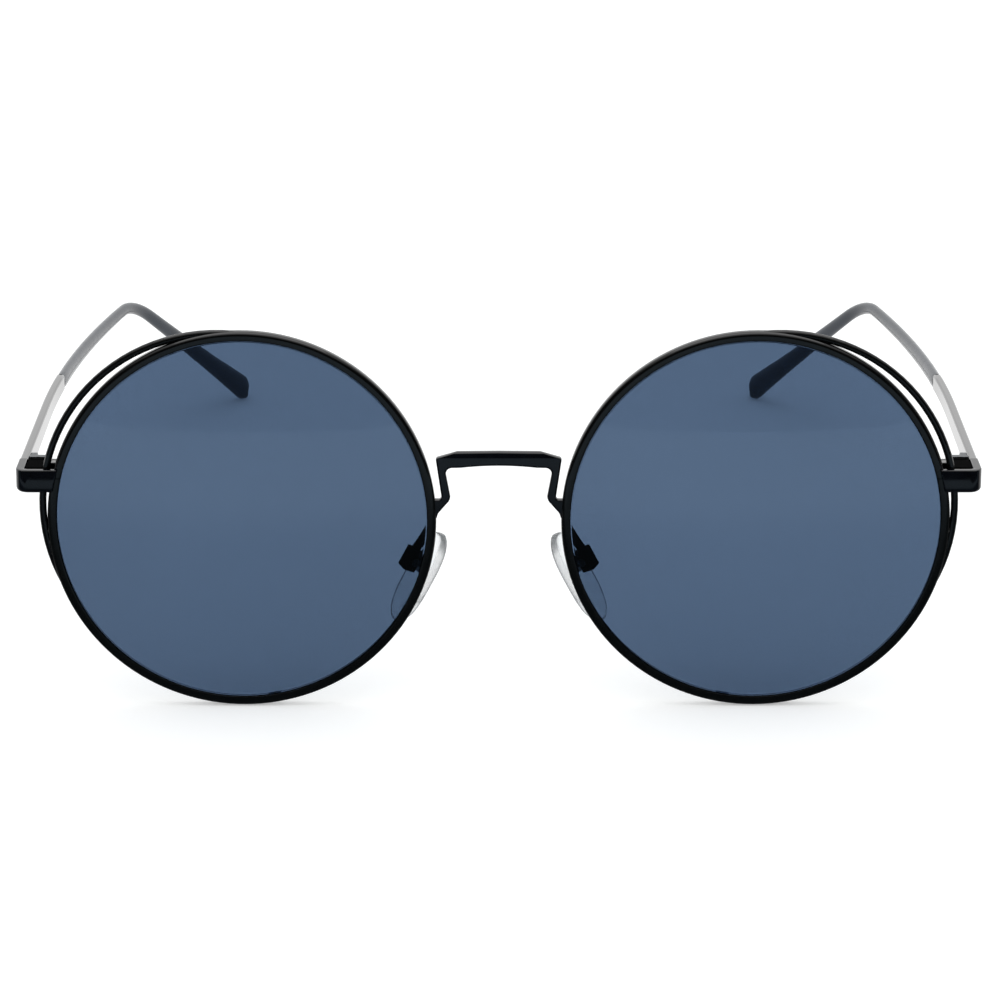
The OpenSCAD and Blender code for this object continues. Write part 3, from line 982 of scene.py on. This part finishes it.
@dataclass(frozen=True)
class TemplePath:
    """The line that a temple and its sleeve follow, right-hand side.

    Args:
        bend_a: angle of the bow where the bend starts.
        sleeve_a: angle of the bow at the sleeve's mouth.
        tail_l: length of the bend and the straight behind it.
        bow_l: length of the bow from the sleeve's mouth to the bend.
    """

    bend_a: float = math.degrees(math.asin((SIZES.bend_y - SIZES.bow_y) / SIZES.bow_r))
    sleeve_a: float = math.degrees(math.asin((SIZES.sleeve_y - SIZES.bow_y) / SIZES.bow_r))
    tail_l: float = SIZES.bend_l + SIZES.tip_l
    bow_l: float = SIZES.bow_r * math.radians(bend_a - sleeve_a)

    @staticmethod
    def along(inward: float, down: float) -> Vector:
        """Direction of travel at those angles."""
        a, b = math.radians(inward), math.radians(down)
        return Vector((-math.sin(a) * math.cos(b), math.cos(a) * math.cos(b), -math.sin(b)))

    @staticmethod
    def across(inward: float) -> Vector:
        """Direction of the thickness."""
        a = math.radians(inward)
        return Vector((math.cos(a), math.sin(a), 0.0))

    @staticmethod
    def upward(inward: float, down: float) -> Vector:
        """Direction of the height."""
        a, b = math.radians(inward), math.radians(down)
        return Vector((-math.sin(a) * math.sin(b), math.cos(a) * math.sin(b), math.cos(b)))

    @staticmethod
    def bow_point(angle: float) -> Vector:
        """Point of the bow at that angle."""
        a = math.radians(angle)
        x = SIZES.arm_x - SIZES.bow_r * (1 - math.cos(a))
        return Vector((x, SIZES.bow_y + SIZES.bow_r * math.sin(a), SIZES.end_z))

    def angles(self, s: float) -> tuple[float, float]:
        """Inward and downward angle at a distance along the tail."""
        share = min(1.0, s / SIZES.bend_l)
        return self.bend_a + (SIZES.tip_in - self.bend_a) * share, SIZES.tip_drop * share

    def walk_tail(self) -> list[tuple[Vector, float, float, float]]:
        """Steps down the tail.

        Returns:
            A point, its two angles and its distance along the tail, for each step.
        """
        point = self.bow_point(self.bend_a)
        step = self.tail_l / STEPS.tail
        found = []
        for i in range(STEPS.tail):
            point = point + step * self.along(*self.angles((i + 0.5) * step))
            found.append((point, *self.angles((i + 1) * step), (i + 1) * step))
        return found


@dataclass
class TempleArm(Half):
    """A temple strip and the sleeve over its end."""

    path: TemplePath = field(default_factory=TemplePath)

    def strip_rings(self) -> list[Ring]:
        """Gives the metal strip.

        Returns:
            Its cross-sections, from the hinge to the sleeve.
        """
        start = SIZES.pivot_y + SIZES.butt_gap
        frames = []
        for i in range(STEPS.strip + 1):
            y = start + (SIZES.bow_y - start) * i / STEPS.strip
            frames.append((Vector((SIZES.arm_x, y, SIZES.end_z)), 0.0))
        for i in range(1, STEPS.strip + 1):
            angle = (self.path.sleeve_a - SIZES.seam_a) * i / STEPS.strip
            frames.append((self.path.bow_point(angle), angle))
        return [
            Ring(point, self.path.across(a), UPWARD, SIZES.arm_thick, SIZES.strip_high(point.y))
            for point, a in frames
        ]

    def sleeve_ring(self, centre: Vector, inward: float, down: float, s: float) -> Ring:
        """Gives the sleeve at one place.

        Args:
            centre: the place, on the path.
            inward: the path's angle inward.
            down: the path's angle downward.
            s: millimetres behind the sleeve's mouth.

        Returns:
            Its cross-section.
        """
        tail_l, end = self.path.tail_l, self.path.bow_l + self.path.tail_l
        neck = min(1.0, s / self.path.bow_l)
        swell = (max(0.0, s - self.path.bow_l) / tail_l) ** SIZES.tip_swell_power
        dome = SIZES.tip_high * SIZES.tip_round_share
        left = max(0.0, s - (end - dome)) / dome
        share = math.sqrt(max(SIZES.tip_flat_share, 1 - left * left))
        side = SIZES.tip_side_share + (1 - SIZES.tip_side_share) * share
        up = TemplePath.upward(inward, down)
        wide = (SIZES.sleeve_thick + (SIZES.tip_thick - SIZES.sleeve_thick) * swell) * side
        high = SIZES.sleeve_high + (SIZES.neck_high - SIZES.sleeve_high) * neck
        high = (high + (SIZES.tip_high - SIZES.neck_high) * swell) * share
        held_back = Vector((0.0, TRIM.tip_trim * left, 0.0))
        dropped = up * SIZES.tip_high * SIZES.tip_sag_share * (1 - share)
        return Ring(centre - dropped - held_back, TemplePath.across(inward), up, wide, high)

    def sleeve_rings(self) -> list[Ring]:
        """Gives the sleeve.

        Returns:
            Its cross-sections, from its mouth to its rounded end.
        """
        path = self.path
        mouth = self.sleeve_ring(path.bow_point(path.sleeve_a), path.sleeve_a, 0.0, 0.0)
        lip_wide = SIZES.arm_thick + TRIM.lip
        lip_high = SIZES.strip_high(SIZES.sleeve_y) + TRIM.lip
        rings = [Ring(mouth.centre, mouth.across, mouth.up, lip_wide, lip_high)]
        for i in range(STEPS.bow + 1):
            share = TRIM.lip_share + (1 - TRIM.lip_share) * i / STEPS.bow
            angle = path.sleeve_a + (path.bend_a - path.sleeve_a) * share
            s = path.bow_l * i / STEPS.bow
            rings.append(self.sleeve_ring(path.bow_point(angle), angle, 0.0, s))
        for centre, inward, down, s in path.walk_tail():
            rings.append(self.sleeve_ring(centre, inward, down, path.bow_l + s))
        return rings

    def bore_rings(self, outer: list[Ring]) -> list[Ring]:
        """Gives the core wire's blind bore, by cross-sections inside the sleeve's outer ones."""
        count = len(outer) - round(SIZES.bore_stop / (self.path.tail_l / STEPS.tail))
        return [
            Ring(r.centre, r.across, r.up, SIZES.bore_thick, SIZES.bore_high)
            for r in outer[:count]
        ]

    def build_strip(self) -> None:
        """Draws the flat strip through its cross-sections."""
        strip = open_blank(self.named("temple_strip"))
        add_tube(self.strip_rings(), 4)
        close_blank()
        bevel(strip, TRIM.strip_edge, STEPS.edge_round)
        place(strip, self.side)
        arm = self.named("temple_arm")
        seat(strip, self.palette.smoke, self.named("temple"), arm)

    def build_sleeve(self) -> None:
        """Draws the sleeve and its bore, and joins both round the mouth."""
        outer = self.sleeve_rings()
        sleeve = open_blank(self.named("ear_sleeve"))
        for rings in (outer, self.bore_rings(outer)):
            add_tube(rings, STEPS.wire_sides, start=False)
        bpy.ops.mesh.select_all(action="DESELECT")
        others = ("use_wire", "use_multi_face", "use_non_contiguous", "use_verts")
        bpy.ops.mesh.select_non_manifold(use_boundary=True, **dict.fromkeys(others, False))
        bpy.ops.mesh.bridge_edge_loops()
        close_blank()
        place(sleeve, self.side, SLEEVE_SHARP_ANGLE)
        arm = self.named("temple_arm")
        seat(sleeve, self.palette.sleeve, self.named("tip_sleeve"), arm)

    def build(self) -> None:
        """Builds the strip and the sleeve."""
        self.build_strip()
        self.build_sleeve()


@dataclass
class FrontSide(Half):
    """The rim, endpiece, blocks, hinges and pad box of one side."""

    def build_rim(self) -> None:
        """Spins a rounded, grooved section round the lens and cuts the closing gap."""
        rim = open_blank(self.named("rim_wire"))
        middle = SIZES.lens_x + SIZES.rim_inner + SIZES.rim_width / 2
        section = Ring(middle * OUTWARD, OUTWARD, AHEAD, SIZES.rim_width, SIZES.rim_depth)
        add_ring(section, 4, "NGON")
        close_blank(False)
        pick(rim, lambda v: v.co.x < middle * MM)
        bpy.ops.mesh.subdivide(number_cuts=1)
        close_blank(False)
        pick(rim, lambda v: v.co.x < middle * MM and abs(v.co.y) < 0.01 * MM)
        bpy.ops.transform.translate(value=(TRIM.groove * MM, 0.0, 0.0))
        close_blank(False)
        pick(rim, lambda v: v.co.x > middle * MM)
        bpy.ops.mesh.bevel(offset=TRIM.rim_round * MM, segments=STEPS.long_round, affect="VERTICES")
        close_blank(False)
        pick(rim, lambda v: v.co.x < (middle - TRIM.groove_edge) * MM)
        small = STEPS.small_round
        bpy.ops.mesh.bevel(offset=TRIM.groove_round * MM, segments=small, affect="VERTICES")
        take_all()
        bpy.ops.mesh.delete(type="ONLY_FACE")
        take_all()
        centre = SIZES.lens_x * MM * OUTWARD
        bpy.ops.mesh.spin(steps=STEPS.rim, angle=math.tau, center=centre, axis=AHEAD)
        take_all()
        bpy.ops.mesh.remove_doubles(threshold=WELD)
        close_blank()
        bpy.ops.object.select_all(action="DESELECT")
        bpy.ops.mesh.primitive_cube_add(
            size=1.0,
            location=((SIZES.lens_x + SIZES.rim_outer) * MM, 0.0, SIZES.split_z * MM),
            scale=(TRIM.gap_wide * MM, TRIM.gap_deep * MM, SIZES.split_gap * MM),
        )
        cut(rim, bpy.context.object)
        place(rim, self.side)
        seat(rim, self.palette.jet, self.named("rim"))

    def endpiece_rings(self) -> list[Ring]:
        """Gives the endpiece.

        Returns:
            Its cross-sections, from the rim round its corner to the hinge.
        """
        thick, high, z = SIZES.end_thick, SIZES.end_high, SIZES.end_z
        tilt = math.asin(z / SIZES.rim_outer)
        x = SIZES.lens_x - TRIM.solder_lap + math.sqrt(SIZES.rim_outer**2 - z**2)
        start = Vector((x, SIZES.end_front + thick / 2, z))
        lean = Vector((-math.sin(tilt), 0.0, math.cos(tilt)))
        rings = [Ring(start, -AHEAD, lean, thick, high / math.cos(tilt))]
        turn = Vector((SIZES.out_x - SIZES.end_corner, SIZES.end_front + SIZES.end_corner, z))
        radius = SIZES.end_corner - thick / 2
        for i in range(STEPS.corner + 1):
            a = math.radians(90 * i / STEPS.corner)
            out = Vector((math.sin(a), -math.cos(a), 0.0))
            rings.append(Ring(turn + radius * out, out, UPWARD, thick, high))
        stop = Vector((SIZES.out_x - thick / 2, SIZES.pivot_y, z))
        rings.append(Ring(stop, OUTWARD, UPWARD, thick, high))
        return rings

    @staticmethod
    def lower_outer(vertex: Corner) -> bool:
        """Finds the lower outer edge of the endpiece's bar.

        Args:
            vertex: a corner of the bar.

        Returns:
            Whether it lies on that edge.
        """
        x, y, z = vertex.co / MM
        beside = max(0.0, x - (SIZES.out_x - SIZES.end_corner))
        ahead = max(0.0, SIZES.end_front + SIZES.end_corner - y)
        middle = SIZES.end_corner - SIZES.end_thick / 2
        return z < SIZES.end_z and math.hypot(beside, ahead) > middle

    def build_endpiece(self) -> None:
        """Bends a bar round the corner, rounds its lower edge and leans back its upper front."""
        bar = open_blank(self.named("corner_bar"))
        add_tube(self.endpiece_rings(), 4)
        close_blank()
        pick(bar, self.lower_outer)
        bpy.ops.transform.edge_bevelweight(value=1.0)
        close_blank(False)
        bevel(bar, TRIM.end_round, STEPS.long_round, "WEIGHT")
        band_z = SIZES.end_z + SIZES.end_high / 2 - TRIM.end_band
        bpy.ops.object.mode_set(mode="EDIT")
        slice_off(Vector((0.0, SIZES.end_front, band_z)) * MM, slope_normal())
        bevel(bar, TRIM.end_edge, STEPS.small_round)
        place(bar, self.side)
        seat(bar, self.palette.slate, self.named("endpiece"))

    def build_small(self) -> None:
        """Rounds the blocks, the hinge halves and the pad box."""
        jet, dull, nickel = self.palette.jet, self.palette.dull, self.palette.nickel
        arm = self.named("temple_arm")
        for node, name, body, slot, width, finish in (
            ("upper_block", "upper_clasp", "front", "frame_metal", TRIM.block_edge, jet),
            ("lower_block", "lower_clasp", "front", "frame_metal", TRIM.block_edge, jet),
            ("front_hinge", "hinge_knuckles", "front", "frame_metal", TRIM.hinge_edge, dull),
            ("temple_hinge", "hinge_tongue", arm, "hinge_metal", TRIM.hinge_edge, nickel),
            ("pad_box", "pad_cup", "front", "pad_box_black", TRIM.box_edge, dull),
        ):
            copy = merged_copy(self.named(node), self.named(name))
            bevel(copy, width, STEPS.small_round)
            smooth(copy)
            seat(copy, finish, self.named(node), body)

    def build(self) -> None:
        """Builds the pieces of this side."""
        self.build_rim()
        self.build_endpiece()
        self.build_small()


@dataclass
class Nose(Half):
    """The pad arm and clear pad of one side."""

    @staticmethod
    def turn() -> Matrix:
        """Gives how the pad's own frame is turned in the drawing."""
        slant = Matrix.Rotation(math.radians(-SIZES.pad_slant), 3, "Y")
        return slant @ Matrix.Rotation(math.radians(-SIZES.pad_splay), 3, "Z")

    def turned(self, x: float, y: float, z: float) -> Vector:
        """Turns a direction of the pad's own frame into the drawing."""
        return self.turn() @ Vector((x, y, z))

    def spot(self, x: float, y: float, z: float) -> Vector:
        """Place of a point of the pad's own frame in the drawing."""
        return Vector((SIZES.pad_x, SIZES.pad_y, SIZES.pad_z)) + self.turned(x, y, z)

    def arm_rings(self) -> list[Ring]:
        """Gives the pad arm, along a curve with four control points.

        Returns:
            Its cross-sections, from the rim to the pad box.
        """
        radius = SIZES.rim_inner + SIZES.rim_width * TRIM.stem_share
        low = SIZES.pad_arm_z
        x = SIZES.lens_x - math.sqrt(radius**2 - low**2)
        start = Vector((x, SIZES.rim_depth / 2 + SIZES.solder, low))
        end = self.spot(SIZES.pad_arm_side, 0.0, SIZES.box_long / 2 + SIZES.solder)
        leave = start + SIZES.pad_arm_lead * AHEAD
        enter = end + self.turned(0.0, 0.0, SIZES.pad_arm_entry) - TRIM.stem_sway * OUTWARD
        rings = []
        for i in range(STEPS.wire + 1):
            t = i / STEPS.wire
            u = 1 - t
            centre = u**3 * start + 3 * t * u * u * leave + 3 * t * t * u * enter + t**3 * end
            along = u * u * (leave - start) + 2 * t * u * (enter - leave) + t * t * (end - enter)
            across = along.cross(OUTWARD).normalized()
            wide = TRIM.stem + TRIM.stem_flare * max(0.0, 1 - TRIM.stem_fade * t) ** 2
            rings.append(Ring(centre, across, along.cross(across).normalized(), wide, wide))
        return rings

    def pad_rings(self) -> list[Ring]:
        """Gives the pad.

        Returns:
            Its cross-sections, from its lower to its upper end.
        """
        rings = []
        front = SIZES.pad_thick * (1 - SIZES.pad_sole_share)
        x = SIZES.pad_back - SIZES.pad_thick + front
        across, up = self.turned(1.0, 0.0, 0.0), self.turned(0.0, 1.0, 0.0)
        for i in range(STEPS.pad + 1):
            v = -math.cos(math.pi * i / STEPS.pad)
            roundness = 1 - abs(v) ** SIZES.pad_round_power
            share = math.sqrt(max(SIZES.pad_edge_share, roundness))
            taper = 1 - SIZES.pad_taper_share + SIZES.pad_taper_share * share
            centre = self.spot(x, 0.0, v * SIZES.pad_long / 2 - SIZES.pad_hang)
            rings.append(Ring(centre, across, up, 2 * front * taper, SIZES.pad_wide * share))
        return rings

    def build_pad(self) -> None:
        """Builds the crowned pad, cuts its flat back and sinks the plate's recess."""
        pad = open_blank(self.named("clear_pad"))
        add_tube(self.pad_rings(), STEPS.pad_sides)
        back = self.spot(SIZES.pad_back, 0.0, 0.0) * MM
        slice_off(back, self.turned(1.0, 0.0, 0.0))
        bevel(pad, TRIM.pad_edge, STEPS.edge_round)
        bpy.ops.object.select_all(action="DESELECT")
        bpy.ops.mesh.primitive_cube_add(
            size=1.0,
            location=back,
            rotation=self.turn().to_euler(),
            scale=(
                2 * (SIZES.plate_thick + SIZES.solder) * MM,
                (SIZES.plate_wide + 2 * SIZES.solder) * MM,
                (SIZES.plate_long + 2 * SIZES.solder) * MM,
            ),
        )
        cut(pad, bpy.context.object)
        place(pad, self.side, PAD_SHARP_ANGLE)
        seat(pad, self.palette.pad, self.named("nose_pad"), self.named("pad"))

    def build_arm(self) -> None:
        """Bends the pad arm."""
        wire = open_blank(self.named("pad_wire"))
        add_tube(self.arm_rings(), STEPS.wire_sides)
        close_blank()
        place(wire, self.side)
        seat(wire, self.palette.dull, self.named("pad_arm"))

    def build(self) -> None:
        """Builds both pieces."""
        self.build_arm()
        self.build_pad()


def meets_rim(vertex: Corner, end: Side) -> bool:
    """Finds the end of the bridge on one side.

    Args:
        vertex: a corner of the bridge.
        end: the side.

    Returns:
        Whether the corner lies against the rim of that side.
    """
    x, _, z = (REST.inverted() @ vertex.co) / MM
    reach = math.hypot(end.value * x - SIZES.lens_x, z)
    return end.value * x > 0.0 and reach < SIZES.rim_outer + TRIM.rim_touch


def build_bridge(palette: Palette) -> None:
    """Laps the bridge into the rims, leans back its upper front and rounds its edges.

    Args:
        palette: the finishes.
    """
    bar = merged_copy("bridge", "nose_bar")
    for end in Side:
        pick(bar, lambda v, end=end: meets_rim(v, end))
        bpy.ops.transform.translate(value=(end.value * TRIM.solder_lap * MM, 0.0, 0.0))
        close_blank(False)
    band_z = SIZES.bridge_rise - TRIM.bridge_band
    edge = REST @ Vector((0.0, -SIZES.bridge_thick / 2 * MM, band_z * MM))
    bpy.ops.object.mode_set(mode="EDIT")
    slice_off(edge, REST.to_3x3() @ slope_normal())
    bevel(bar, TRIM.bridge_edge, STEPS.edge_round)
    smooth(bar)
    seat(bar, palette.slate, "bridge")


# The studio


@dataclass
class Studio:
    """White sweep, a soft lamp, a room that is dark in front, and the camera.

    The roof and rear say from which directions the room is white again to mirrored rays. The
    floor's fades are counted from the front. The focal length is 4340 pixels of a picture that
    is 1000 pixels wide, in millimetres on the sensor.
    """

    room_light: float = 0.75
    dark_room: float = 0.02
    roof: Span = (0.55, 0.95)
    rear: Span = (-0.25, 0.35)
    floor_half: float = 3.0
    floor_colour: Colour = (0.845, 0.865, 0.868)
    floor_rough: float = 0.9
    floor_lift: float = 0.345
    floor_mirrored: Colour = (0.68, 0.86, 1.0)
    near_floor: float = 0.05
    far_floor: float = 0.32
    fade_ahead: Span = (-0.21, -0.09)
    fade_behind: Span = (-0.01, 0.07)
    front_y: float = -0.0657658
    lamp_place: tuple[float, float, float] = (0.0, 0.1, 1.1)
    lamp_size: Span = (1.2, 0.9)
    lamp_power: float = 4.0
    camera_x: float = 0.19 * MM
    aim_z: float = 32.2 * MM
    distance: float = 650 * MM
    elevation: float = 21.2
    sensor: float = 36.0
    focal: float = 4340 / 1000 * 36

    def from_front(self, span: Span) -> Span:
        """Moves a span that is counted from the front into the shared frame."""
        return self.front_y + span[0], self.front_y + span[1]

    def build_world(self) -> None:
        """Lights the room white, but leaves it dark in front of the object to glossy rays."""
        world = bpy.data.worlds.new("white room")
        bpy.context.scene.world = world
        world.use_nodes = True
        world.node_tree.nodes.clear()
        bench = NodeBench(world.node_tree)
        height = bench.ease(bench.coordinate("Generated", "Z"), self.roof)
        behind = bench.ease(bench.coordinate("Generated", "Y"), self.rear)
        open_way = bench.math("MAXIMUM", height, behind)
        mirror = bench.light("Background")
        dark = scaled(WHITE, self.dark_room)
        bench.join(bench.ramp(open_way, dark, WHITE), mirror.inputs["Color"])
        light = bench.light("Background", strength=self.room_light)
        white = bench.light("Background")
        glossy = bench.add("LightPath").outputs["Is Glossy Ray"]
        shine = bench.mix(glossy, light.outputs["Background"], mirror.outputs["Background"])
        shown = bench.mix(bench.seen(), shine, white.outputs["Background"])
        bench.join(shown, bench.add("OutputWorld").inputs["Surface"])

    def mirrored_floor(self, bench: NodeBench) -> Socket:
        """Gives what mirrored rays see of the floor.

        Args:
            bench: where its nodes are added.

        Returns:
            A shader that fades in front of the object and is white behind it.
        """
        y = bench.coordinate("Object", "Y")
        fade = self.from_front(self.fade_ahead)
        ahead = bench.light("Emission", self.floor_mirrored)
        level = bench.ease(y, fade, (self.far_floor, self.near_floor))
        bench.join(level, ahead.inputs["Strength"])
        behind = bench.light("Emission")
        share = bench.ease(y, self.from_front(self.fade_behind))
        return bench.mix(share, ahead.outputs["Emission"], behind.outputs["Emission"])

    def build_floor(self) -> None:
        """Adds the pale floor, which keeps the shadows and fades out in front for glossy rays."""
        bpy.ops.object.select_all(action="DESELECT")
        bpy.ops.mesh.primitive_plane_add(size=2 * self.floor_half)
        floor = bpy.context.object
        floor.name = "floor"
        surface = Surface.fresh("white sweep")
        bench = surface.bench
        surface.fix(Roughness=self.floor_rough, Specular_IOR_Level=0.0)
        surface.shader.inputs["Base Color"].default_value = (*self.floor_colour, 1.0)
        seen = bench.seen()
        lift = bench.light("Emission")
        gain = bench.add("Math", operation="MULTIPLY")
        gain.inputs[1].default_value = self.floor_lift
        bench.join(bench.wire(gain, seen), lift.inputs["Strength"])
        lit, lifted = surface.shader.outputs["BSDF"], lift.outputs["Emission"]
        both = bench.wire(bench.add("AddShader"), lit, lifted)
        glossy = bench.add("LightPath").outputs["Is Glossy Ray"]
        only_mirror = bench.math("SUBTRACT", glossy, seen)
        mirror = self.mirrored_floor(bench)
        surface.show(bench.mix(only_mirror, both, mirror))
        dress(floor, surface.material)

    def build_lamp(self) -> None:
        """Adds a broad soft lamp overhead."""
        bpy.ops.object.light_add(type="AREA", location=self.lamp_place, rotation=(0.0, 0.0, 0.0))
        lamp = bpy.context.object
        lamp.name = "overhead"
        lamp.data.shape = "RECTANGLE"
        lamp.data.size, lamp.data.size_y = self.lamp_size
        lamp.data.energy = self.lamp_power

    def build_camera(self) -> None:
        """Adds the camera at the photograph's viewing angle."""
        tilt = math.radians(self.elevation)
        back, up = self.distance * math.cos(tilt), self.distance * math.sin(tilt)
        spot = (self.camera_x, self.front_y - back, self.aim_z + up)
        turn = (math.radians(90) - tilt, 0.0, 0.0)
        bpy.ops.object.camera_add(location=spot, rotation=turn)
        camera = bpy.context.object
        camera.name = "camera"
        camera.data.lens = self.focal
        camera.data.sensor_width = self.sensor
        camera.data.clip_start = 10 * MM
        camera.data.dof.use_dof = False
        bpy.context.scene.camera = camera

    def build(self) -> None:
        """Builds the whole studio."""
        self.build_world()
        self.build_floor()
        self.build_lamp()
        self.build_camera()
        bpy.context.scene.view_settings.view_transform = "Standard"


def main() -> None:
    """Builds the pieces in order and reports each one."""
    logging.basicConfig(level=logging.INFO, format="%(name)s: %(message)s")
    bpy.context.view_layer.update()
    palette = Palette()
    LOG.info("dressed %d carried nodes", dress_carried(palette))
    build_bridge(palette)
    for side in Side:
        FrontSide(side, palette).build()
        Nose(side, palette).build()
        TempleArm(side, palette).build()
    Studio().build()
    LOG.info("studio built")


if __name__ == "__main__":
    main()
